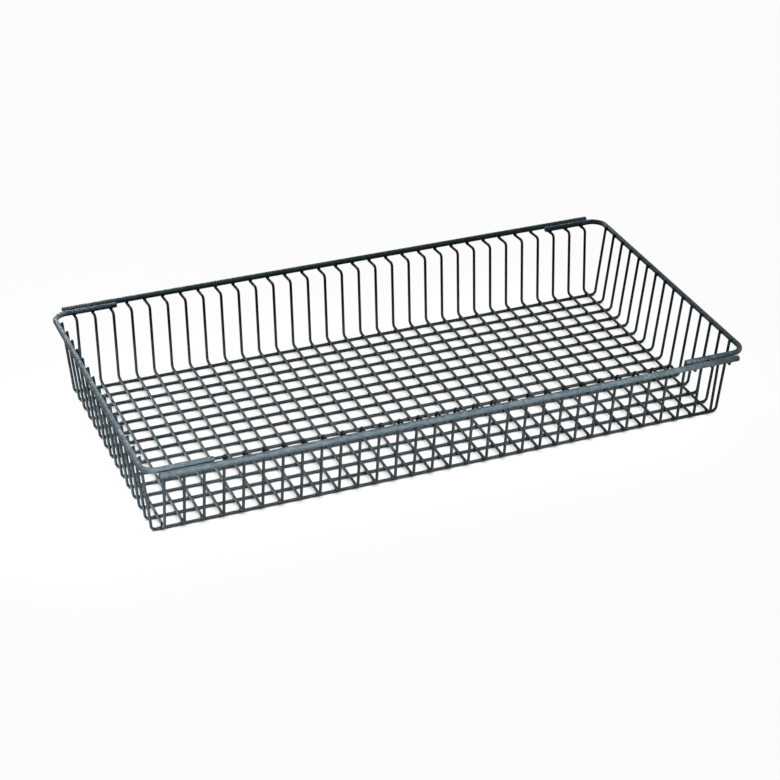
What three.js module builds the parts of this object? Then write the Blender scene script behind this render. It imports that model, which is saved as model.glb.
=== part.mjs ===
// Wire cart basket: straight-drawn wires welded into a square mesh, bent up into four walls and hung
// from a rim of heavier rods. Millimetres, +Z up, +X along the long side. The origin lies under the
// middle of the basket, level with the underside of its lowest wires.

import * as THREE from "three";

// Wire and rod stock
const WIRE_DIAMETER = 3.8;
const LOOP_ROD_DIAMETER = 7.3;
const RUNNER_ROD_DIAMETER = 7.9;

// Mesh: transverse wires run across the basket, longitudinal wires run under them along it
const TRANSVERSE_COUNT = 31;
const TRANSVERSE_PITCH = 25.4;
const LONGITUDINAL_COUNT = 15;
const LONGITUDINAL_PITCH = 25.4;

// Walls, measured on the wires' centre lines
const WALL_HEIGHT = 96.05; // from the transverse wires' floor run up to the corner of their rim flange
const SIDE_WALL_LEAN = 5.35; // degrees outwards, long walls, and the flange is bent square to them
const END_WALL_LEAN = 5.6; // degrees outwards, short walls
const FLOOR_BEND_RADIUS = 5.5;
const FLANGE_BEND_RADIUS = 5.2;
const SIDE_FLOOR_MARGIN = 8.9; // from the outermost longitudinal wire to the side wall's floor corner
const END_FLOOR_MARGIN = 14.0; // from the outermost transverse wire to the end wall's floor corner

// Rim: a loop round each end, with a leg along each long wall, and a runner outside the legs
const LEG_MARGIN = 3.1; // straight flange between its bend and the side of a leg
const ROD_SPACE = 4.9; // between a leg and the runner beside it
const FLANGE_SETBACK = 1.6; // the flange ends this far inside the runner's outer side
const LOOP_BEND_RADIUS = 19.0;
const LEG_WIRE_COUNT = 3; // transverse wires under each leg
const LEG_OVERHANG = 8.2; // leg past the last wire under it
const RUNNER_OVERHANG = 13.5; // runner past the outermost transverse wire
const TIP_STANDOUT = 0.6; // end wall wires rise this far past the top of the end loop

// Welded pieces lie this far apart, face to face
const WELD_GAP = 0.1;

// Facets: an eight-sided section, and rings only where a wire bends
const SECTION_SIDES = 8;
const WIRE_BEND_STEPS = 4;
const LOOP_BEND_STEPS = 6;

// Epoxy coat
const COAT_COLOUR = 0x56656e;
const COAT_ROUGHNESS = 0.5;
const COAT_METALNESS = 0.2;

const HALF_FACET_ANGLE = Math.PI / SECTION_SIDES;

/** Distance from the axis to a flat of the faceted section that has a round bar's area. */
function flatRadius(diameter) {
  const facetedArea = SECTION_SIDES * Math.tan(HALF_FACET_ANGLE);
  return (diameter / 2) * Math.sqrt(Math.PI / facetedArea);
}

/** Length that a bend of this radius and turn takes off each of the runs that it joins. */
function bendSetback(radius, turnDegrees) {
  return radius * Math.tan(THREE.MathUtils.degToRad(turnDegrees) / 2);
}

/** Outward travel of a leaning wall over a height. */
function leanOffset(height, leanDegrees) {
  return height * Math.tan(THREE.MathUtils.degToRad(leanDegrees));
}

/** Distance from the axis of a level bar to the corner on which it sits on a tilted seat. */
function tiltedSeatRadius(flat, tiltDegrees) {
  const cornerRadius = flat / Math.cos(HALF_FACET_ANGLE);
  return cornerRadius * Math.cos(HALF_FACET_ANGLE - THREE.MathUtils.degToRad(tiltDegrees));
}

const wireFlat = flatRadius(WIRE_DIAMETER);
const loopFlat = flatRadius(LOOP_ROD_DIAMETER);
const runnerFlat = flatRadius(RUNNER_ROD_DIAMETER);
const sideLean = THREE.MathUtils.degToRad(SIDE_WALL_LEAN);

// A back wall from its floor corner to the corner of its flange: longitudinal wires lie lowest
const longitudinalZ = wireFlat;
const transverseZ = longitudinalZ + 2 * wireFlat + WELD_GAP;
const flangeCornerZ = transverseZ + WALL_HEIGHT;
const outerLongitudinalY = (LONGITUDINAL_PITCH * (LONGITUDINAL_COUNT - 1)) / 2;
const sideFloorY = outerLongitudinalY + SIDE_FLOOR_MARGIN;
const flangeCornerY = sideFloorY + leanOffset(WALL_HEIGHT, SIDE_WALL_LEAN);

/** Point at a distance out along the back flange's centre line and a height square to it. */
function flangePoint(along, above) {
  const y = flangeCornerY + along * Math.cos(sideLean) + above * Math.sin(sideLean);
  const z = flangeCornerZ - along * Math.sin(sideLean) + above * Math.cos(sideLean);
  return new THREE.Vector3(0, y, z);
}

// Across the basket: leg, runner and flange end, seated along the flange
const rodSeat = wireFlat + WELD_GAP;
const legAlong = bendSetback(FLANGE_BEND_RADIUS, 90) + LEG_MARGIN + loopFlat;
const runnerAlong = legAlong + loopFlat + ROD_SPACE + runnerFlat;
const leg = flangePoint(legAlong, rodSeat + tiltedSeatRadius(loopFlat, SIDE_WALL_LEAN));
const runnerAxis = flangePoint(runnerAlong, rodSeat + runnerFlat);
const flangeEnd = flangePoint(runnerAlong + runnerFlat - FLANGE_SETBACK, 0);
const loopZ = leg.z;
const tipZ = loopZ + loopFlat + TIP_STANDOUT;

// Along the basket: floor corner and tip of a longitudinal wire, and the loop that it leans against
const outerTransverseX = (TRANSVERSE_PITCH * (TRANSVERSE_COUNT - 1)) / 2;
const endFloorX = outerTransverseX + END_FLOOR_MARGIN;
const endTipX = endFloorX + leanOffset(tipZ - longitudinalZ, END_WALL_LEAN);
const contactZ = loopZ + loopFlat * Math.tan(HALF_FACET_ANGLE);
const contactX = endFloorX + leanOffset(contactZ - longitudinalZ, END_WALL_LEAN);
const leaningFlat = wireFlat / Math.cos(THREE.MathUtils.degToRad(END_WALL_LEAN));
const loopX = contactX + leaningFlat + WELD_GAP + loopFlat;
const legEndX = outerTransverseX - TRANSVERSE_PITCH * (LEG_WIRE_COUNT - 1) - LEG_OVERHANG;
const runnerHalfLength = outerTransverseX + RUNNER_OVERHANG;

/** Centre line of a bent bar: straight runs between corners, with a round bend at each inner corner. */
class BentBar extends THREE.Curve {
  constructor(corners, radii, bendSteps) {
    super();
    this.stations = [];
    const last = corners.length - 1;
    const run = (k) => corners[k + 1].clone().sub(corners[k]).normalize();
    this.addStation(corners[0], run(0));
    for (let k = 1; k < last; k += 1) {
      this.addBend(corners[k], run(k - 1), run(k), radii[k - 1], bendSteps);
    }
    this.addStation(corners[last], run(last - 1));
  }

  addStation(point, tangent) {
    this.stations.push({ point, tangent });
  }

  addBend(corner, inward, outward, radius, bendSteps) {
    const turn = inward.angleTo(outward);
    const towardsCentre = outward.clone().addScaledVector(inward, -inward.dot(outward)).normalize();
    const start = corner.clone().addScaledVector(inward, -radius * Math.tan(turn / 2));
    for (let step = 0; step <= bendSteps; step += 1) {
      const angle = (turn * step) / bendSteps;
      const point = start.clone();
      point.addScaledVector(inward, radius * Math.sin(angle));
      point.addScaledVector(towardsCentre, radius * (1 - Math.cos(angle)));
      const tangent = inward.clone().multiplyScalar(Math.cos(angle));
      tangent.addScaledVector(towardsCentre, Math.sin(angle));
      this.addStation(point, tangent);
    }
  }

  get steps() {
    return this.stations.length - 1;
  }

  getPointAt(u, target = new THREE.Vector3()) {
    return target.copy(this.stations[Math.round(u * this.steps)].point);
  }

  getTangentAt(u, target = new THREE.Vector3()) {
    return target.copy(this.stations[Math.round(u * this.steps)].tangent);
  }
}

/** Bar section with flats towards its four sides, so that crossing bars meet flat to flat. */
function barSection(flat) {
  const cornerRadius = flat / Math.cos(HALF_FACET_ANGLE);
  const corners = [];
  for (let side = 0; side < SECTION_SIDES; side += 1) {
    const angle = HALF_FACET_ANGLE * (2 * side + 1);
    corners.push(new THREE.Vector2(Math.cos(angle), Math.sin(angle)).multiplyScalar(cornerRadius));
  }
  return new THREE.Shape(corners);
}

/** Solid bar swept along its bent centre line. */
function barGeometry(centreLine, flat) {
  const options = { extrudePath: centreLine, steps: centreLine.steps, bevelEnabled: false };
  return new THREE.ExtrudeGeometry(barSection(flat), options);
}

/** Flange, side wall, floor run, side wall and flange of a wire across the basket. */
function transverseGeometry() {
  const corners = [
    new THREE.Vector3(0, -flangeEnd.y, flangeEnd.z),
    new THREE.Vector3(0, -flangeCornerY, flangeCornerZ),
    new THREE.Vector3(0, -sideFloorY, transverseZ),
    new THREE.Vector3(0, sideFloorY, transverseZ),
    new THREE.Vector3(0, flangeCornerY, flangeCornerZ),
    flangeEnd,
  ];
  const radii = [FLANGE_BEND_RADIUS, FLOOR_BEND_RADIUS, FLOOR_BEND_RADIUS, FLANGE_BEND_RADIUS];
  return barGeometry(new BentBar(corners, radii, WIRE_BEND_STEPS), wireFlat);
}

/** End wall, floor run and end wall of a wire along the basket. */
function longitudinalGeometry() {
  const corners = [
    new THREE.Vector3(-endTipX, 0, tipZ),
    new THREE.Vector3(-endFloorX, 0, longitudinalZ),
    new THREE.Vector3(endFloorX, 0, longitudinalZ),
    new THREE.Vector3(endTipX, 0, tipZ),
  ];
  const radii = [FLOOR_BEND_RADIUS, FLOOR_BEND_RADIUS];
  return barGeometry(new BentBar(corners, radii, WIRE_BEND_STEPS), wireFlat);
}

/** Rod loop round the right-hand end, with a leg along each long wall. */
function endLoopGeometry() {
  const corners = [
    new THREE.Vector3(legEndX, -leg.y, loopZ),
    new THREE.Vector3(loopX, -leg.y, loopZ),
    new THREE.Vector3(loopX, leg.y, loopZ),
    new THREE.Vector3(legEndX, leg.y, loopZ),
  ];
  const radii = [LOOP_BEND_RADIUS, LOOP_BEND_RADIUS];
  return barGeometry(new BentBar(corners, radii, LOOP_BEND_STEPS), loopFlat);
}

/** Straight rod that slides on a cart's ledge. */
function runnerGeometry() {
  const ends = [new THREE.Vector3(-runnerHalfLength, 0, 0), new THREE.Vector3(runnerHalfLength, 0, 0)];
  return barGeometry(new BentBar(ends, [], 0), runnerFlat);
}

/** One named piece of the basket in its own epoxy coat. */
function coatedPiece(name, geometry) {
  const coat = new THREE.MeshStandardMaterial({
    color: COAT_COLOUR,
    roughness: COAT_ROUGHNESS,
    metalness: COAT_METALNESS,
  });
  const piece = new THREE.Mesh(geometry, coat);
  piece.name = name;
  return piece;
}

/** Evenly spaced copies of one bent wire along an axis, centred on the basket. */
function wireRow(namePrefix, geometry, axis, count, pitch) {
  const row = new THREE.Group();
  for (let index = 0; index < count; index += 1) {
    const number = String(index + 1).padStart(2, "0");
    const wire = coatedPiece(`${namePrefix}_${number}`, geometry);
    wire.position[axis] = pitch * (index - (count - 1) / 2);
    row.add(wire);
  }
  return row;
}

/** End loops and runners, seated on the transverse wires' flanges. */
function rim() {
  const group = new THREE.Group();
  const loop = endLoopGeometry();
  const rightLoop = coatedPiece("rim_end_loop_right", loop);
  const leftLoop = coatedPiece("rim_end_loop_left", loop);
  leftLoop.rotation.z = Math.PI;
  const runner = runnerGeometry();
  const frontRunner = coatedPiece("runner_rod_front", runner);
  frontRunner.position.set(0, -runnerAxis.y, runnerAxis.z);
  frontRunner.rotation.x = sideLean;
  const backRunner = coatedPiece("runner_rod_back", runner);
  backRunner.position.copy(runnerAxis);
  backRunner.rotation.x = -sideLean;
  group.add(rightLoop, leftLoop, frontRunner, backRunner);
  return group;
}

const basket = new THREE.Group();
basket.add(
  wireRow("transverse_wire", transverseGeometry(), "x", TRANSVERSE_COUNT, TRANSVERSE_PITCH),
  wireRow("longitudinal_wire", longitudinalGeometry(), "y", LONGITUDINAL_COUNT, LONGITUDINAL_PITCH),
  rim(),
);

export default basket;
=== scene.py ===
"""Looks of a wire cart basket: round bent wires, rim rods, welds and a satin slate epoxy coat.

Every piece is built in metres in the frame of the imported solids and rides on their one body. The boxes
of the solids give where each wire and rod lies, and the sizes below give how it is bent.
"""

import logging
import math
from abc import ABC, abstractmethod
from dataclasses import dataclass, field, replace
from enum import Enum
from typing import Any

import bmesh
import bpy
from mathutils import Matrix, Quaternion, Vector

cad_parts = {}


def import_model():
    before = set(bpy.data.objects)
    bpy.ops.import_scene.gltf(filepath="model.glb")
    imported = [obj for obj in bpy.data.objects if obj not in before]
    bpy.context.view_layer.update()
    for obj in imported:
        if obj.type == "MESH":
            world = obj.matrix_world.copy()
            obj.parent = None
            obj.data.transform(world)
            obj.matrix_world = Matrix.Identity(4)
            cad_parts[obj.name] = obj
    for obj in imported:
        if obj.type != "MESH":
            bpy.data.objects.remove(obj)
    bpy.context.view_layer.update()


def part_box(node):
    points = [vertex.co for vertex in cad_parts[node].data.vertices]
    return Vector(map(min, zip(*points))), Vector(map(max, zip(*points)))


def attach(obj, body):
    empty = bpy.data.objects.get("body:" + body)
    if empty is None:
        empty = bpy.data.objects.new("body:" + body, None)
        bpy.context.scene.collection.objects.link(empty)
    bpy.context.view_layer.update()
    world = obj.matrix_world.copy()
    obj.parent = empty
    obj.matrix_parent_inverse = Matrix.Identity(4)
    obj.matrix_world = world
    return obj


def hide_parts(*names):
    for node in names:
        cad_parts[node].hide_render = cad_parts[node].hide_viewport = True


LOG = logging.getLogger("wire_cart_basket")
MM = 0.001
BODY = "root"
ROUND_PROFILE = 0.5

Colour = tuple[float, float, float]
Point = tuple[float, float, float]


class Side(Enum):
    """Long side of the basket, with the sign of its Y."""

    FRONT = -1
    BACK = 1


class End(Enum):
    """Short end of the basket, with the sign of its X."""

    LEFT = -1
    RIGHT = 1


class Axis(Enum):
    """Axis that a row of wires is spaced along, with its place in a vector."""

    X = 0
    Y = 1


class Slot(Enum):
    """Kind of finish of a piece, with the name of its material slot."""

    WIRE = "coated_wire"
    ROD = "coated_rod"


@dataclass(frozen=True)
class BasketSizes:
    """Sizes of the bent wire that the solids' boxes don't give, in metres and degrees."""

    wire_radius: float = 1.9 * MM
    loop_radius: float = 3.65 * MM
    runner_radius: float = 3.95 * MM
    wall_height: float = 96.05 * MM
    side_lean: float = 5.35
    end_lean: float = 5.6
    side_floor_y: float = 186.7 * MM
    end_floor_x: float = 395.0 * MM
    floor_bend: float = 5.5 * MM
    flange_bend: float = 5.2 * MM
    loop_bend: float = 19.0 * MM
    pitch: float = 25.4 * MM

    def flange_normal(self, side: Side) -> Vector:
        """Direction square to a flange, upwards."""
        lean = math.radians(self.side_lean)
        return Vector((0.0, side.value * math.sin(lean), math.cos(lean)))

    def tip_normal(self, end: End) -> Vector:
        """Direction square to an end wall, outwards."""
        lean = math.radians(self.end_lean)
        return Vector((end.value * math.cos(lean), 0.0, -math.sin(lean)))


def opaque(colour: Colour) -> tuple[float, float, float, float]:
    """Colour with full alpha, as a shader's socket takes it."""
    return (*colour, 1.0)


def finished_mesh(draft: bmesh.types.BMesh, name: str) -> bpy.types.Mesh:
    """Turns a mesh in the making into a finished one.

    Args:
        draft: Mesh in the making, which is freed.
        name: Name of the finished mesh.

    Returns:
        The new mesh.
    """
    mesh = bpy.data.meshes.new(name)
    draft.to_mesh(mesh)
    draft.free()
    return mesh


class NodeSheet:
    """Adds nodes to a node tree, sets their sockets and links them."""

    # Sockets of a Mix node that mixes colours
    MIX_SHARE = 0
    MIX_FIRST = 6
    MIX_SECOND = 7
    MIX_RESULT = 2

    def __init__(self, tree: bpy.types.NodeTree) -> None:
        """Keeps the tree that the nodes go into.

        Args:
            tree: Shader node tree of a material, a world or a group.
        """
        self.tree = tree

    @classmethod
    def emptied(cls, owner: bpy.types.Material | bpy.types.World) -> "NodeSheet":
        """Starts a sheet on the emptied node tree of a material or a world.

        Args:
            owner: The material or the world.

        Returns:
            The new sheet.
        """
        owner.use_nodes = True
        owner.node_tree.nodes.clear()
        return cls(owner.node_tree)

    def add(self, kind: str, inputs: dict[Any, Any] | None = None, **settings: Any) -> bpy.types.Node:
        """Adds one node.

        Args:
            kind: Node type, without its ShaderNode prefix.
            inputs: Input sockets by name or number, each with a value or with the socket that feeds it.
            settings: Properties of the node itself.

        Returns:
            The new node.
        """
        node = self.tree.nodes.new(kind if kind.startswith("NodeGroup") else f"ShaderNode{kind}")
        for name, value in settings.items():
            setattr(node, name, value)
        for name, value in (inputs or {}).items():
            if isinstance(value, bpy.types.NodeSocket):
                self.tree.links.new(value, node.inputs[name])
            else:
                node.inputs[name].default_value = value
        return node

    def group(self, tree: bpy.types.NodeTree, inputs: dict[str, Any]) -> bpy.types.NodeOutputs:
        """Places a shared node group with values of its own.

        Args:
            tree: Shared node group.
            inputs: Values or sockets by input name.

        Returns:
            The group's output sockets.
        """
        return self.add("Group", inputs, node_tree=tree).outputs

    def math(self, operation: str, *values: Any) -> bpy.types.NodeSocket:
        """Adds a Math node and gives its result.

        Args:
            operation: Name of the operation, such as MULTIPLY.
            values: Numbers or sockets, in the order of the node's inputs.

        Returns:
            The output socket.
        """
        return self.add("Math", dict(enumerate(values)), operation=operation).outputs[0]

    def ramp(self, value: bpy.types.NodeSocket, low: Any, high: Any) -> bpy.types.NodeSocket:
        """Maps a value smoothly to 0 at low and 1 at high, whichever of the two is greater.

        Args:
            value: Socket with the value.
            low: Number or socket, for the value that becomes 0.
            high: Number or socket, for the value that becomes 1.

        Returns:
            The output socket.
        """
        inputs = {"Value": value, "From Min": low, "From Max": high}
        return self.add("MapRange", inputs, interpolation_type="SMOOTHSTEP").outputs["Result"]

    def mix(self, share: Any, first: Any, second: Any) -> bpy.types.NodeSocket:
        """Mixes two colours.

        Args:
            share: Number or socket, 0 for the first colour and 1 for the second.
            first: Colour or socket.
            second: Colour or socket.

        Returns:
            The output socket.
        """
        inputs = {self.MIX_SHARE: share}
        for number, colour in ((self.MIX_FIRST, first), (self.MIX_SECOND, second)):
            inputs[number] = colour if isinstance(colour, bpy.types.NodeSocket) else opaque(colour)
        return self.add("Mix", inputs, data_type="RGBA").outputs[self.MIX_RESULT]

    def tint(
        self, base: Any, mask: bpy.types.NodeSocket, share: float, colour: Colour
    ) -> bpy.types.NodeSocket:
        """Mixes a colour into another one where a mask is high.

        Args:
            base: Colour or socket that is tinted.
            mask: Socket with the mask.
            share: Share of the new colour where the mask is 1.
            colour: The new colour.

        Returns:
            The output socket.
        """
        return self.mix(self.math("MULTIPLY", mask, share), base, colour)

    def mix_shaders(
        self, share: Any, first: bpy.types.NodeSocket, second: bpy.types.NodeSocket
    ) -> bpy.types.NodeSocket:
        """Mixes two shaders.

        Args:
            share: Number or socket, 0 for the first shader and 1 for the second.
            first: Output socket of the first shader.
            second: Output socket of the second shader.

        Returns:
            The output socket.
        """
        return self.add("MixShader", {0: share, 1: first, 2: second}).outputs[0]


@dataclass
class CoatEffects:
    """Shader node groups that every coated finish shares, with the noise that they're made from."""

    cloud_detail: float = 3.0
    fleck_detail: float = 1.0
    patch_detail: float = 4.0
    tone_range: tuple[float, float] = (0.32, 0.68)
    patch_range: tuple[float, float] = (0.45, 0.7)
    upward_range: tuple[float, float] = (0.35, 0.95)
    mottle: bpy.types.NodeTree = field(init=False)
    peel: bpy.types.NodeTree = field(init=False)
    # Group of the painted shade where floor wires cross
    crossing_shade: bpy.types.NodeTree = field(init=False)
    # Group of the painted highlight: lighter patches on faces that point up
    top_highlight: bpy.types.NodeTree = field(init=False)

    def __post_init__(self) -> None:
        """Builds each group once."""
        self.mottle = self._mottle()
        self.peel = self._peel()
        self.crossing_shade = self._crossing_shade()
        self.top_highlight = self._top_highlight()

    @staticmethod
    def _group(name: str, inputs: dict[str, str], outputs: dict[str, str]) -> NodeSheet:
        """Starts a group with named sockets.

        Args:
            name: Name of the group.
            inputs: Socket types by socket name.
            outputs: Socket types by socket name.

        Returns:
            A sheet on the new group's tree.
        """
        tree = bpy.data.node_groups.new(name, "ShaderNodeTree")
        for in_out, sockets in (("INPUT", inputs), ("OUTPUT", outputs)):
            for socket, kind in sockets.items():
                tree.interface.new_socket(socket, in_out=in_out, socket_type=f"NodeSocket{kind}")
        return NodeSheet(tree)

    def _mottle(self) -> bpy.types.NodeTree:
        """Slow clouds and fine flecks of tone in the coat.

        Returns:
            The group, which gives both as values from 0 to 1.
        """
        inputs = {"Position": "Vector", "Cloud Size": "Float", "Fleck Size": "Float"}
        sheet = self._group("coat_mottle", inputs, {"Cloud": "Float", "Fleck": "Float"})
        given = sheet.add("NodeGroupInput").outputs
        results: dict[str, bpy.types.NodeSocket] = {}
        for name, detail in (("Cloud", self.cloud_detail), ("Fleck", self.fleck_detail)):
            scale = sheet.math("DIVIDE", 1.0, given[f"{name} Size"])
            noise = sheet.add("TexNoise", {"Vector": given["Position"], "Scale": scale, "Detail": detail})
            results[name] = sheet.ramp(noise.outputs["Fac"], *self.tone_range)
        sheet.add("NodeGroupOutput", results)
        return sheet.tree

    def _peel(self) -> bpy.types.NodeTree:
        """Shallow dimples of a sprayed coat.

        Returns:
            The group, which gives them as a height.
        """
        inputs = {"Position": "Vector", "Dimple Size": "Float"}
        sheet = self._group("orange_peel", inputs, {"Height": "Float"})
        given = sheet.add("NodeGroupInput").outputs
        scale = sheet.math("DIVIDE", 1.0, given["Dimple Size"])
        cells = sheet.add("TexVoronoi", {"Vector": given["Position"], "Scale": scale}, feature="SMOOTH_F1")
        sheet.add("NodeGroupOutput", {"Height": cells.outputs["Distance"]})
        return sheet.tree

    def _crossing_shade(self) -> bpy.types.NodeTree:
        """Painted shade where two floor wires cross, which fades along both.

        Returns:
            The group, which gives it as a mask.
        """
        inputs = {"Position": "Vector", "Pitch": "Float", "Near": "Float", "Far": "Float", "Top": "Float"}
        sheet = self._group("crossing_shade", inputs, {"Mask": "Float"})
        given = sheet.add("NodeGroupInput").outputs
        place = sheet.add("SeparateXYZ", {"Vector": given["Position"]}).outputs
        half_pitch = sheet.math("MULTIPLY", given["Pitch"], 0.5)
        offsets = [sheet.math("PINGPONG", place[axis.name], half_pitch) for axis in Axis]
        fade = sheet.ramp(sheet.math("MAXIMUM", *offsets), given["Far"], given["Near"])
        on_floor = sheet.math("LESS_THAN", place["Z"], given["Top"])
        sheet.add("NodeGroupOutput", {"Mask": sheet.math("MULTIPLY", fade, on_floor)})
        return sheet.tree

    def _top_highlight(self) -> bpy.types.NodeTree:
        """Patches of painted highlight on the faces that point up, lighter where light from above would
        fall.

        Returns:
            The group, which gives them as a mask.
        """
        sheet = self._group("painted_top_highlights", {"Position": "Vector", "Patch Size": "Float"}, {"Mask": "Float"})
        given = sheet.add("NodeGroupInput").outputs
        up = sheet.add("SeparateXYZ", {"Vector": sheet.add("NewGeometry").outputs["Normal"]}).outputs["Z"]
        scale = sheet.math("DIVIDE", 1.0, given["Patch Size"])
        inputs = {"Vector": given["Position"], "Scale": scale, "Detail": self.patch_detail}
        patches = sheet.ramp(sheet.add("TexNoise", inputs).outputs["Fac"], *self.patch_range)
        mask = sheet.math("MULTIPLY", sheet.ramp(up, *self.upward_range), patches)
        sheet.add("NodeGroupOutput", {"Mask": mask})
        return sheet.tree


@dataclass(frozen=True)
class EpoxyCoat:
    """Satin epoxy finish on steel, in linear colours and metres.

    The reach of the painted shade where floor wires cross is in wire radii: near and far from a crossing's
    axes, and its top above the underside of the basket. The size of a patch of painted highlight on faces
    that point up is a share of the size of a cloud.
    """

    name: str
    slate: Colour
    pale: Colour
    # Dark tone of the random flecks, and also of the painted shade where floor wires cross
    fleck_and_shade: Colour
    # Tone of the painted highlight on faces that point up
    highlighted: Colour
    cloud_share: float = 0.55
    fleck_share: float = 0.35
    shade_share: float = 0.45
    highlight_share: float = 0.35
    roughness: float = 0.42
    roughness_swing: float = 0.14
    specular: float = 0.1
    cloud_size: float = 34 * MM
    fleck_size: float = 2.2 * MM
    patch_share: float = 0.5
    shade_near: float = 1.05
    shade_far: float = 2.6
    shade_top: float = 6.0
    dimple_size: float = 0.8 * MM
    peel_strength: float = 0.22
    peel_depth: float = 0.06 * MM

    def material(self, effects: CoatEffects, sizes: BasketSizes) -> bpy.types.Material:
        """Builds the finish as a node material.

        Args:
            effects: Shared node groups.
            sizes: Sizes of the mesh, for the painted shade where wires cross.

        Returns:
            The new material.
        """
        material = bpy.data.materials.new(self.name)
        sheet = NodeSheet.emptied(material)
        position = sheet.add("TexCoord").outputs["Object"]
        mottle = sheet.group(
            effects.mottle,
            {"Position": position, "Cloud Size": self.cloud_size, "Fleck Size": self.fleck_size},
        )
        fleck_and_shade = sheet.group(
            effects.crossing_shade,
            {
                "Position": position,
                "Pitch": sizes.pitch,
                "Near": self.shade_near * sizes.wire_radius,
                "Far": self.shade_far * sizes.wire_radius,
                "Top": self.shade_top * sizes.wire_radius,
            },
        )
        patch_size = self.patch_share * self.cloud_size
        top_highlight = sheet.group(effects.top_highlight, {"Position": position, "Patch Size": patch_size})
        clouded = sheet.tint(self.slate, mottle["Cloud"], self.cloud_share, self.pale)
        # The flecks are random tone; their dark colour is also that of the painted shade at the crossings
        flecked = sheet.tint(clouded, mottle["Fleck"], self.fleck_share, self.fleck_and_shade)
        # Painted highlight: a lighter tone in noise patches on faces that point up, standing in for light
        # from above
        highlighted = sheet.tint(flecked, top_highlight["Mask"], self.highlight_share, self.highlighted)
        # Painted shade: darker where floor wires cross, fading along both wires, in place of the shade in
        # the crossings
        shaded = sheet.tint(highlighted, fleck_and_shade["Mask"], self.shade_share, self.fleck_and_shade)
        swing = sheet.math("MULTIPLY_ADD", mottle["Cloud"], self.roughness_swing, self.roughness)
        shader = sheet.add(
            "BsdfPrincipled",
            {
                "Base Color": shaded,
                "Roughness": swing,
                "Specular IOR Level": self.specular,
                "Normal": self._peeled(sheet, effects, position),
            },
        )
        sheet.add("OutputMaterial", {"Surface": shader.outputs["BSDF"]})
        return material

    def _peeled(
        self, sheet: NodeSheet, effects: CoatEffects, position: bpy.types.NodeSocket
    ) -> bpy.types.NodeSocket:
        """Dimples the coat.

        Args:
            sheet: Sheet of the material.
            effects: Shared node groups.
            position: Socket with the point of the surface.

        Returns:
            The socket with the dimpled normal.
        """
        peel = sheet.group(effects.peel, {"Position": position, "Dimple Size": self.dimple_size})
        inputs = {"Strength": self.peel_strength, "Distance": self.peel_depth, "Height": peel["Height"]}
        return sheet.add("Bump", inputs).outputs["Normal"]


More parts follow.
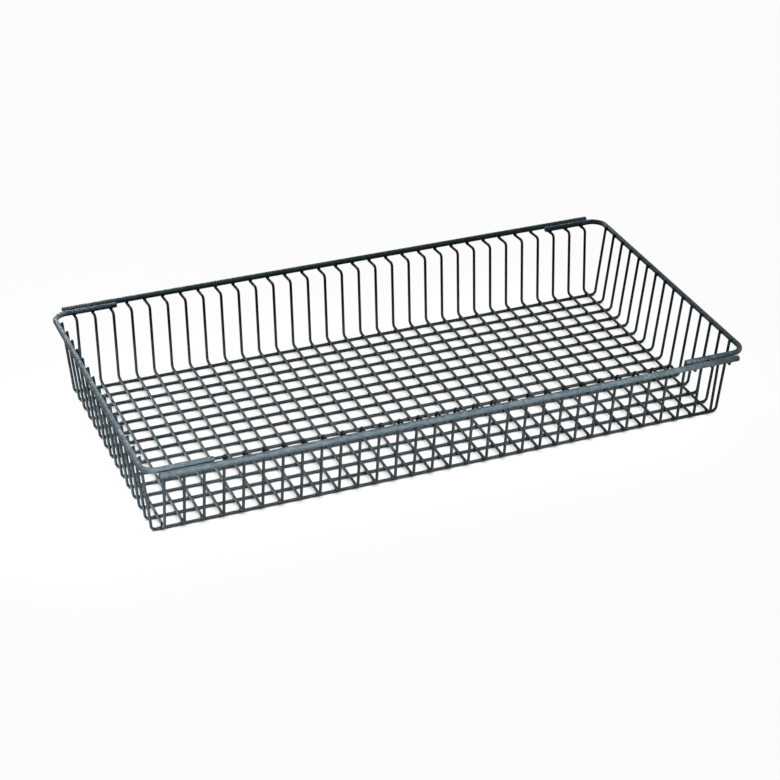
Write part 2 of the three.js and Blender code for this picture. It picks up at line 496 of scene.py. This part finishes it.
@dataclass
class RoundBar:
    """Round bar bent through a row of corners, with rounded cut ends.

    The rounding of an end is a share of the bar's radius.
    """

    corners: list[Vector]
    bends: list[float]
    radius: float
    sides: int = 20
    bend_steps: int = 9
    end_round: float = 0.45
    end_segments: int = 3

    def mesh(self, name: str) -> bpy.types.Mesh:
        """Draws the bar: a ring that is extruded along each run and spun round each bend.

        Args:
            name: Name of the mesh.

        Returns:
            A closed smooth mesh.
        """
        bar = bmesh.new()
        heading = (self.corners[1] - self.corners[0]).normalized()
        first = self._ring(bar, self.corners[0], heading)
        ring = first
        reached = self.corners[0]
        for corner, following, radius in zip(self.corners[1:], self.corners[2:], self.bends):
            onward = (following - corner).normalized()
            turn = heading.angle(onward)
            setback = radius * math.tan(turn / 2)
            bend_start = corner - heading * setback
            ring = self._run(bar, ring, bend_start - reached)
            inward = (onward - heading * heading.dot(onward)).normalized()
            ring = self._bend(bar, ring, bend_start + inward * radius, heading.cross(onward), turn)
            reached = corner + onward * setback
            heading = onward
        last = self._run(bar, ring, self.corners[-1] - reached)
        self._close(bar, first + last)
        return finished_mesh(bar, name)

    def _ring(self, bar: bmesh.types.BMesh, at: Vector, heading: Vector) -> list[bmesh.types.BMEdge]:
        """Starts the bar with a ring square to its first run.

        Args:
            bar: Empty mesh in the making.
            at: Centre of the ring.
            heading: Direction of the run.

        Returns:
            The ring's edges.
        """
        turned = heading.to_track_quat("Z", "Y").to_matrix().to_4x4()
        placed = Matrix.Translation(at) @ turned
        bmesh.ops.create_circle(bar, segments=self.sides, radius=self.radius, matrix=placed)
        return list(bar.edges)

    @staticmethod
    def _run(
        bar: bmesh.types.BMesh, ring: list[bmesh.types.BMEdge], travel: Vector
    ) -> list[bmesh.types.BMEdge]:
        """Extrudes the last ring along a straight run.

        Args:
            bar: Mesh in the making.
            ring: Edges of the last ring.
            travel: Length and direction of the run.

        Returns:
            The new ring's edges.
        """
        made = bmesh.ops.extrude_edge_only(bar, edges=ring)["geom"]
        moved = [item for item in made if isinstance(item, bmesh.types.BMVert)]
        bmesh.ops.translate(bar, vec=travel, verts=moved)
        kept = set(moved)
        edges = [item for item in made if isinstance(item, bmesh.types.BMEdge)]
        return [edge for edge in edges if kept.issuperset(edge.verts)]

    def _bend(
        self,
        bar: bmesh.types.BMesh,
        ring: list[bmesh.types.BMEdge],
        centre: Vector,
        axis: Vector,
        turn: float,
    ) -> list[bmesh.types.BMEdge]:
        """Spins the last ring round a bend.

        Args:
            bar: Mesh in the making.
            ring: Edges of the last ring.
            centre: Centre of the bend.
            axis: Axis of the bend.
            turn: Angle of the bend in radians.

        Returns:
            The new ring's edges.
        """
        verts = list(dict.fromkeys(vert for edge in ring for vert in edge.verts))
        spun = bmesh.ops.spin(
            bar, geom=verts + ring, cent=centre, axis=axis.normalized(), angle=turn, steps=self.bend_steps
        )
        return [item for item in spun["geom_last"] if isinstance(item, bmesh.types.BMEdge)]

    def _close(self, bar: bmesh.types.BMesh, rims: list[bmesh.types.BMEdge]) -> None:
        """Fills both cut ends, rounds their rims and shades the bar smooth.

        Args:
            bar: Mesh in the making.
            rims: Edges of the two open ends.
        """
        bmesh.ops.edgeloop_fill(bar, edges=rims)
        bmesh.ops.recalc_face_normals(bar, faces=bar.faces)
        bmesh.ops.bevel(
            bar,
            geom=rims,
            offset=self.end_round * self.radius,
            offset_type="OFFSET",
            segments=self.end_segments,
            profile=ROUND_PROFILE,
            affect="EDGES",
            material=-1,
            clamp_overlap=True,
        )
        for face in bar.faces:
            face.smooth = True


def add_piece(
    name: str, mesh: bpy.types.Mesh, coat: bpy.types.Material, slot: Slot, *nodes: str
) -> bpy.types.Object:
    """Puts a finished mesh into the scene as a piece of the basket.

    Args:
        name: Name of the piece.
        mesh: Its mesh, already in place.
        coat: Its material.
        slot: Not used.
        nodes: Solids that the piece stands for.

    Returns:
        The new object.
    """
    mesh.materials.clear()
    mesh.materials.append(coat)
    piece = bpy.data.objects.new(name, mesh)
    bpy.context.scene.collection.objects.link(piece)
    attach(piece, BODY)
    if nodes:
        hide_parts(*nodes)
    LOG.info("%s: %d faces, stands for %d solids", name, len(mesh.polygons), len(nodes))
    return piece


@dataclass
class WireRow(ABC):
    """Row of equal bent wires, spaced along one axis of the basket."""

    sizes: BasketSizes
    count: int
    spaced: Axis
    solid: str
    piece: str

    def node(self, index: int) -> str:
        """Name of the solid of one wire, counted from the left or the front."""
        return f"{self.solid}_{index + 1:02d}"

    def places(self) -> list[float]:
        """X or Y of every wire, as the row is spaced.

        Returns:
            The places, from the left or the front.
        """
        axis = self.spaced.value
        boxes = [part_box(self.node(index)) for index in range(self.count)]
        return [(low[axis] + high[axis]) / 2 for low, high in boxes]

    def half_thickness(self) -> float:
        """Distance from a solid wire's axis to its flats.

        Returns:
            The distance.
        """
        axis = self.spaced.value
        low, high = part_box(self.node(0))
        return (high[axis] - low[axis]) / 2

    def floor_z(self) -> float:
        """Height of the wires' axes on the floor."""
        low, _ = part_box(self.node(0))
        return low.z + self.half_thickness()

    @abstractmethod
    def bar(self) -> RoundBar:
        """Bent bar of one wire, in the middle of the row."""

    def build(self, coat: bpy.types.Material) -> list[bpy.types.Object]:
        """Builds every wire and dresses it.

        Args:
            coat: Material of the wires.

        Returns:
            The new pieces.
        """
        pattern = self.bar().mesh(self.piece)
        pieces: list[bpy.types.Object] = []
        for index, place in enumerate(self.places()):
            offset = Vector()
            offset[self.spaced.value] = place
            mesh = pattern.copy()
            mesh.transform(Matrix.Translation(offset))
            name = f"{self.piece}_{index + 1:02d}"
            pieces.append(add_piece(name, mesh, coat, Slot.WIRE, self.node(index)))
        bpy.data.meshes.remove(pattern)
        return pieces


@dataclass
class CrossWires(WireRow):
    """Wires across the basket: flange, wall, floor run, wall and flange in one length."""

    count: int = 31
    spaced: Axis = Axis.X
    solid: str = "transverse_wire"
    piece: str = "cross_wire"

    def bar(self) -> RoundBar:
        """Bent bar of one wire, in the plane of X = 0.

        Returns:
            The bar, from the front flange to the back flange.
        """
        _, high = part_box(self.node(0))
        lean = math.radians(self.sizes.side_lean)
        floor_z = self.floor_z()
        corner_y = self.sizes.side_floor_y + self.sizes.wall_height * math.tan(lean)
        corner_z = floor_z + self.sizes.wall_height
        end_y = high.y - self.half_thickness() * math.sin(lean)
        end_z = corner_z - (end_y - corner_y) * math.tan(lean)
        back = [(self.sizes.side_floor_y, floor_z), (corner_y, corner_z), (end_y, end_z)]
        front = [(-y, z) for y, z in reversed(back)]
        corners = [Vector((0.0, y, z)) for y, z in front + back]
        flange, floor = self.sizes.flange_bend, self.sizes.floor_bend
        return RoundBar(corners, [flange, floor, floor, flange], self.sizes.wire_radius)


@dataclass
class LengthWires(WireRow):
    """Wires along the basket, under the cross wires: end wall, floor run and end wall in one length."""

    count: int = 15
    spaced: Axis = Axis.Y
    solid: str = "longitudinal_wire"
    piece: str = "length_wire"

    def bar(self) -> RoundBar:
        """Bent bar of one wire, in the plane of Y = 0.

        Returns:
            The bar, from the left tip to the right tip.
        """
        _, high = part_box(self.node(0))
        lean = math.radians(self.sizes.end_lean)
        floor_z = self.floor_z()
        tip_z = high.z - self.half_thickness() * math.sin(lean)
        tip_x = self.sizes.end_floor_x + (tip_z - floor_z) * math.tan(lean)
        right = [(self.sizes.end_floor_x, floor_z), (tip_x, tip_z)]
        left = [(-x, z) for x, z in reversed(right)]
        corners = [Vector((x, 0.0, z)) for x, z in left + right]
        return RoundBar(corners, [self.sizes.floor_bend] * 2, self.sizes.wire_radius)


@dataclass
class EndLoop:
    """Heavier rod bent round one short end, with a leg along each long wall."""

    sizes: BasketSizes
    end: End
    sides: int = 28
    bend_steps: int = 14
    end_round: float = 0.3

    def node(self) -> str:
        """Name of the loop's solid."""
        return f"rim_end_loop_{self.end.name.lower()}"

    def corner(self, side: Side) -> Vector:
        """Crossing of the loop's axis along the end with its axis along one leg.

        Args:
            side: Long side of the leg.

        Returns:
            The crossing.
        """
        low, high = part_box(self.node())
        half = (high.z - low.z) / 2
        outer_x = high.x if self.end is End.RIGHT else low.x
        return Vector((outer_x - self.end.value * half, side.value * (high.y - half), (low.z + high.z) / 2))

    def leg_end_x(self) -> float:
        """X at which both legs end."""
        low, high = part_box(self.node())
        return low.x if self.end is End.RIGHT else high.x

    def build(self, coat: bpy.types.Material) -> bpy.types.Object:
        """Builds the loop and dresses it.

        Args:
            coat: Material of the rod.

        Returns:
            The new piece.
        """
        front, back = self.corner(Side.FRONT), self.corner(Side.BACK)
        leg_ends = [Vector((self.leg_end_x(), corner.y, corner.z)) for corner in (front, back)]
        bar = RoundBar(
            corners=[leg_ends[0], front, back, leg_ends[1]],
            bends=[self.sizes.loop_bend] * 2,
            radius=self.sizes.loop_radius,
            sides=self.sides,
            bend_steps=self.bend_steps,
            end_round=self.end_round,
        )
        name = f"end_loop_{self.end.name.lower()}"
        return add_piece(name, bar.mesh(name), coat, Slot.ROD, self.node())


@dataclass
class Runner:
    """Straight rod on one long side's flanges, which slides on a cart's ledge."""

    sizes: BasketSizes
    side: Side
    sides: int = 28
    end_round: float = 0.3

    def node(self) -> str:
        """Name of the runner's solid."""
        return f"runner_rod_{self.side.name.lower()}"

    def ends(self) -> list[Vector]:
        """Ends of the runner's axis.

        Returns:
            The left end and the right end.
        """
        low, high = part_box(self.node())
        middle = (low + high) / 2
        return [Vector((x, middle.y, middle.z)) for x in (low.x, high.x)]

    def build(self, coat: bpy.types.Material) -> bpy.types.Object:
        """Builds the runner and dresses it.

        Args:
            coat: Material of the rod.

        Returns:
            The new piece.
        """
        radius = self.sizes.runner_radius
        bar = RoundBar(self.ends(), [], radius, sides=self.sides, end_round=self.end_round)
        name = f"runner_{self.side.name.lower()}"
        return add_piece(name, bar.mesh(name), coat, Slot.ROD, self.node())


@dataclass
class Welds:
    """Beads of coated weld metal where the bars cross.

    The half sizes of a bead are in wire radii: its web across the wire, its thickness, and its reach
    along the wire under a runner, under a leg and at a tip. The bevel is a share of each half size.
    """

    sizes: BasketSizes
    cross_wires: CrossWires
    length_wires: LengthWires
    loops: dict[End, EndLoop]
    runners: dict[Side, Runner]
    web: float = 1.3
    thickness: float = 0.8
    runner_reach: float = 1.5
    leg_reach: float = 1.4
    tip_reach: float = 1.4
    bevel_share: float = 0.55

    def floor_spots(self) -> list[Matrix]:
        """Finds the beads at the crossings of the floor.

        Returns:
            The matrix of every bead.
        """
        middle = (self.cross_wires.floor_z() + self.length_wires.floor_z()) / 2
        return [
            self._spot(Vector((x, y, middle)), None, self.web)
            for x in self.cross_wires.places()
            for y in self.length_wires.places()
        ]

    def rim_spots(self) -> list[Matrix]:
        """Finds the beads between the flanges and the rim rods.

        Returns:
            The matrix of every bead.
        """
        spots: list[Matrix] = []
        flanges = self.cross_wires.places()
        for side, runner in self.runners.items():
            normal = self.sizes.flange_normal(side)
            turn = normal.to_track_quat("Z", "Y")
            seat = runner.ends()[0] - normal * self.sizes.runner_radius
            spots += [self._spot(Vector((x, seat.y, seat.z)), turn, self.runner_reach) for x in flanges]
            for end, loop in self.loops.items():
                seat = loop.corner(side) - normal * self.sizes.loop_radius
                under = [x for x in flanges if x * end.value > loop.leg_end_x() * end.value]
                spots += [self._spot(Vector((x, seat.y, seat.z)), turn, self.leg_reach) for x in under]
        return spots

    def tip_spots(self) -> list[Matrix]:
        """Finds the beads between the end wall wires and the loops.

        Returns:
            The matrix of every bead.
        """
        spots: list[Matrix] = []
        for end, loop in self.loops.items():
            normal = self.sizes.tip_normal(end)
            turn = normal.to_track_quat("Z", "Y")
            seat = loop.corner(Side.BACK) - normal * self.sizes.loop_radius
            for y in self.length_wires.places():
                spots.append(self._spot(Vector((seat.x, y, seat.z)), turn, self.tip_reach))
        return spots

    def _spot(self, at: Vector, turn: Quaternion | None, reach: float) -> Matrix:
        """Place, turn and half sizes of one bead.

        Args:
            at: Middle of the bead.
            turn: Turn of the bead, or None where it lies flat.
            reach: Half length of the bead along the wire, in wire radii.

        Returns:
            The bead's matrix.
        """
        radius = self.sizes.wire_radius
        scale = Vector((self.web * radius, reach * radius, self.thickness * radius))
        return Matrix.LocRotScale(at, turn, scale)

    def build(self, coat: bpy.types.Material) -> list[bpy.types.Object]:
        """Builds the beads, one piece for each kind of crossing, and dresses them.

        Args:
            coat: Material of the beads.

        Returns:
            The new pieces.
        """
        kinds = {
            "floor_welds": self.floor_spots(),
            "rim_welds": self.rim_spots(),
            "tip_welds": self.tip_spots(),
        }
        return [add_piece(name, self._beads(name, spots), coat, Slot.WIRE) for name, spots in kinds.items()]

    def _beads(self, name: str, spots: list[Matrix]) -> bpy.types.Mesh:
        """Makes one mesh of equal beads.

        Args:
            name: Name of the mesh.
            spots: Matrix of every bead.

        Returns:
            The new mesh.
        """
        pattern = self._bead()
        beads = bmesh.new()
        for spot in spots:
            placed = pattern.copy()
            placed.transform(spot)
            beads.from_mesh(placed)
            bpy.data.meshes.remove(placed)
        bpy.data.meshes.remove(pattern)
        return finished_mesh(beads, name)

    def _bead(self) -> bpy.types.Mesh:
        """Makes a pad of half size 1 with rounded edges.

        Returns:
            The new mesh.
        """
        bead = bmesh.new()
        bmesh.ops.create_cube(bead, size=2.0)
        bmesh.ops.bevel(
            bead,
            geom=list(bead.edges),
            offset=self.bevel_share,
            offset_type="OFFSET",
            segments=1,
            profile=ROUND_PROFILE,
            affect="EDGES",
            material=-1,
            clamp_overlap=True,
        )
        for face in bead.faces:
            face.smooth = True
        return finished_mesh(bead, "weld_bead")


@dataclass(frozen=True)
class SoftBox:
    """Rectangular area light that faces a point and isn't seen itself, in metres, watts and degrees.

    Its height and spread are those of a strip with a grid, which lights little beside its target.
    """

    name: str
    position: Point
    target: Point
    width: float
    power: float
    height: float = 0.06
    spread: float = 30.0

    def build(self) -> bpy.types.Object:
        """Adds the light to the scene.

        Returns:
            The light's object.
        """
        light = bpy.data.lights.new(self.name, "AREA")
        light.shape = "RECTANGLE"
        light.size = self.width
        light.size_y = self.height
        light.energy = self.power
        light.spread = math.radians(self.spread)
        lamp = bpy.data.objects.new(self.name, light)
        lamp.location = self.position
        lamp.rotation_mode = "QUATERNION"
        lamp.rotation_quaternion = (Vector(self.target) - lamp.location).to_track_quat("-Z", "Y")
        lamp.visible_camera = False
        bpy.context.scene.collection.objects.link(lamp)
        return lamp


@dataclass(frozen=True)
class PhotoCamera:
    """Camera at the photograph's viewing angle, in metres, degrees and millimetres."""

    position: Point = (-0.97436, -2.28918, 1.48997)
    aim: Point = (-0.0327, -0.06248, 0.06)
    roll: float = -0.9783
    lens: float = 99.017
    sensor: float = 36.0

    def build(self) -> bpy.types.Object:
        """Adds the camera and makes it the scene's own.

        Returns:
            The camera's object.
        """
        data = bpy.data.cameras.new("photo_camera")
        data.lens = self.lens
        data.sensor_width = self.sensor
        camera = bpy.data.objects.new("photo_camera", data)
        camera.location = self.position
        camera.rotation_mode = "QUATERNION"
        level = (Vector(self.aim) - camera.location).to_track_quat("-Z", "Y")
        camera.rotation_quaternion = level @ Quaternion((0.0, 0.0, 1.0), -math.radians(self.roll))
        bpy.context.scene.collection.objects.link(camera)
        bpy.context.scene.camera = camera
        return camera


@dataclass
class Studio:
    """Pale floor, white surround, soft boxes and camera round the basket, in metres.

    The floor and the surround look white to the camera and in reflections. To other rays they are dim,
    so that the undersides stay dark.
    """

    boxes: tuple[SoftBox, ...]
    camera: PhotoCamera
    floor_size: float = 16.0
    floor_drop: float = 0.1 * MM
    floor_colour: Colour = (0.9, 0.9, 0.9)
    floor_bounce: Colour = (0.09, 0.09, 0.09)
    shadow_share: float = 0.035
    contact_reach: float = 9 * MM
    contact_darkest: float = 0.35
    contact_lightest: float = 0.73
    contact_samples: int = 6
    white: Colour = (1.0, 1.0, 1.0)
    sky: Colour = (0.95, 0.98, 1.0)
    sky_strength: float = 0.07

    def build(self) -> None:
        """Builds the floor, the surround, the lights and the camera."""
        self._floor()
        self._surround()
        for box in self.boxes:
            box.build()
        self.camera.build()
        bpy.context.scene.view_settings.view_transform = "Standard"

    @staticmethod
    def _seen(sheet: NodeSheet) -> bpy.types.NodeSocket:
        """Value that is 1 for the rays that show the white surround.

        Args:
            sheet: Sheet of the floor's or the world's tree.

        Returns:
            The output socket.
        """
        rays = sheet.add("LightPath").outputs
        mirrored = sheet.math("MAXIMUM", rays["Is Glossy Ray"], rays["Is Transmission Ray"])
        return sheet.math("MAXIMUM", rays["Is Camera Ray"], mirrored)

    def _floor(self) -> None:
        """Adds the floor under the basket to the stage."""
        plane = bmesh.new()
        at = Matrix.Translation((0.0, 0.0, -self.floor_drop))
        bmesh.ops.create_grid(plane, x_segments=1, y_segments=1, size=self.floor_size / 2, matrix=at)
        mesh = finished_mesh(plane, "studio_floor")
        mesh.materials.append(self._floor_paint())
        floor = bpy.data.objects.new("studio_floor", mesh)
        bpy.context.scene.collection.objects.link(floor)

    def _floor_paint(self) -> bpy.types.Material:
        """Builds the floor's paint, with a faint shadow of the lights and a tight one close to the wires.

        Returns:
            The new material.
        """
        material = bpy.data.materials.new("pale_floor")
        sheet = NodeSheet.emptied(material)
        bounce = sheet.add("BsdfDiffuse", {"Color": opaque(self.floor_bounce)}).outputs[0]
        pale = sheet.add("BsdfDiffuse", {"Color": opaque(self.floor_colour)}).outputs[0]
        reach = {"Distance": self.contact_reach}
        near = sheet.add("AmbientOcclusion", reach, samples=self.contact_samples).outputs["AO"]
        lit = sheet.ramp(near, self.contact_darkest, self.contact_lightest)
        white = sheet.add("Emission", {"Color": lit, "Strength": 1.0}).outputs[0]
        shown = sheet.mix_shaders(self.shadow_share, white, pale)
        surface = sheet.mix_shaders(self._seen(sheet), bounce, shown)
        sheet.add("OutputMaterial", {"Surface": surface})
        return material

    def _surround(self) -> None:
        """Sets a white surround that lights the basket softly."""
        world = bpy.data.worlds.new("white_surround")
        bpy.context.scene.world = world
        sheet = NodeSheet.emptied(world)
        light = {"Color": opaque(self.sky), "Strength": self.sky_strength}
        soft = sheet.add("Background", light).outputs[0]
        white = sheet.add("Background", {"Color": opaque(self.white), "Strength": 1.0}).outputs[0]
        sheet.add("OutputWorld", {"Surface": sheet.mix_shaders(self._seen(sheet), soft, white)})


# The wires' coat is the same epoxy as the rods' but is painted much darker: painted shade, so that the thin
# wires read as dark as wires in shade
SHADED_WIRE_COAT = EpoxyCoat(
    name="slate_epoxy_wire",
    slate=(0.022, 0.029, 0.032),
    pale=(0.038, 0.049, 0.054),
    # Dark tone for the flecks and for the painted shade where floor wires cross
    fleck_and_shade=(0.010, 0.013, 0.014),
    # Tone of the painted highlight on the wires' upward faces
    highlighted=(0.040, 0.050, 0.054),
    fleck_share=0.3,
    cloud_size=20 * MM,
    highlight_share=0.2,
    specular=0.02,
)
ROD_COAT = EpoxyCoat(
    name="slate_epoxy_rod",
    slate=(0.055, 0.077, 0.089),
    pale=(0.087, 0.117, 0.132),
    # Dark tone for the flecks only; the rods get no painted shade at crossings
    fleck_and_shade=(0.024, 0.035, 0.040),
    # Tone of the painted highlight on the rods' tops
    highlighted=(0.13, 0.16, 0.172),
    cloud_share=0.7,
    fleck_share=0.5,
    cloud_size=15 * MM,
    fleck_size=4 * MM,
    specular=0.07,
    shade_share=0.0,
    highlight_share=0.5,
    roughness=0.38,
)
# The weld beads take the wires' darkened coat, with its painted shade
SHADED_WELD_COAT = replace(SHADED_WIRE_COAT, name="slate_epoxy_weld", roughness=0.34)

SOFT_BOXES = (
    SoftBox(
        name="overhead_left",
        position=(-0.5, 0.3, 0.8),
        target=(-0.25, 0.0, 0.1),
        width=0.4,
        height=0.4,
        power=3.4,
        spread=180.0,
    ),
    SoftBox(
        name="mesh_strip",
        position=(-0.05, -0.45, 0.55),
        target=(-0.05, -0.02, 0.0),
        width=0.9,
        power=0.4,
    ),
    SoftBox(
        name="front_strip",
        position=(-0.1, -0.6, 0.26),
        target=(-0.1, -0.205, 0.06),
        width=0.9,
        power=1.12,
    ),
    SoftBox(
        name="left_strip",
        position=(-0.8, 0.0, 0.12),
        target=(-0.41, 0.0, 0.02),
        width=0.4,
        power=1.0,
        spread=22.0,
    ),
    SoftBox(
        name="left_loop_strip",
        position=(-0.05, 0.0, 0.45),
        target=(-0.405, 0.0, 0.1),
        width=0.4,
        power=0.24,
        spread=14.0,
    ),
    SoftBox(
        name="back_strip",
        position=(0.0, 0.6, 0.26),
        target=(0.0, 0.205, 0.06),
        width=0.9,
        power=0.7,
    ),
    SoftBox(
        name="right_strip",
        position=(0.8, 0.0, 0.2),
        target=(0.41, 0.0, 0.05),
        width=0.4,
        power=0.35,
    ),
)


def main() -> None:
    """Loads the solids, builds and dresses every piece, and sets up the studio."""
    logging.basicConfig(level=logging.INFO, format="%(name)s: %(message)s")
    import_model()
    sizes = BasketSizes()
    effects = CoatEffects()
    wire, rod, weld = (coat.material(effects, sizes) for coat in (SHADED_WIRE_COAT, ROD_COAT, SHADED_WELD_COAT))
    cross_wires, length_wires = CrossWires(sizes), LengthWires(sizes)
    loops = {end: EndLoop(sizes, end) for end in End}
    runners = {side: Runner(sizes, side) for side in Side}
    cross_wires.build(wire)
    length_wires.build(wire)
    for rim_rod in (*loops.values(), *runners.values()):
        rim_rod.build(rod)
    Welds(sizes, cross_wires, length_wires, loops, runners).build(weld)
    Studio(SOFT_BOXES, PhotoCamera()).build()


if __name__ == "__main__":
    main()
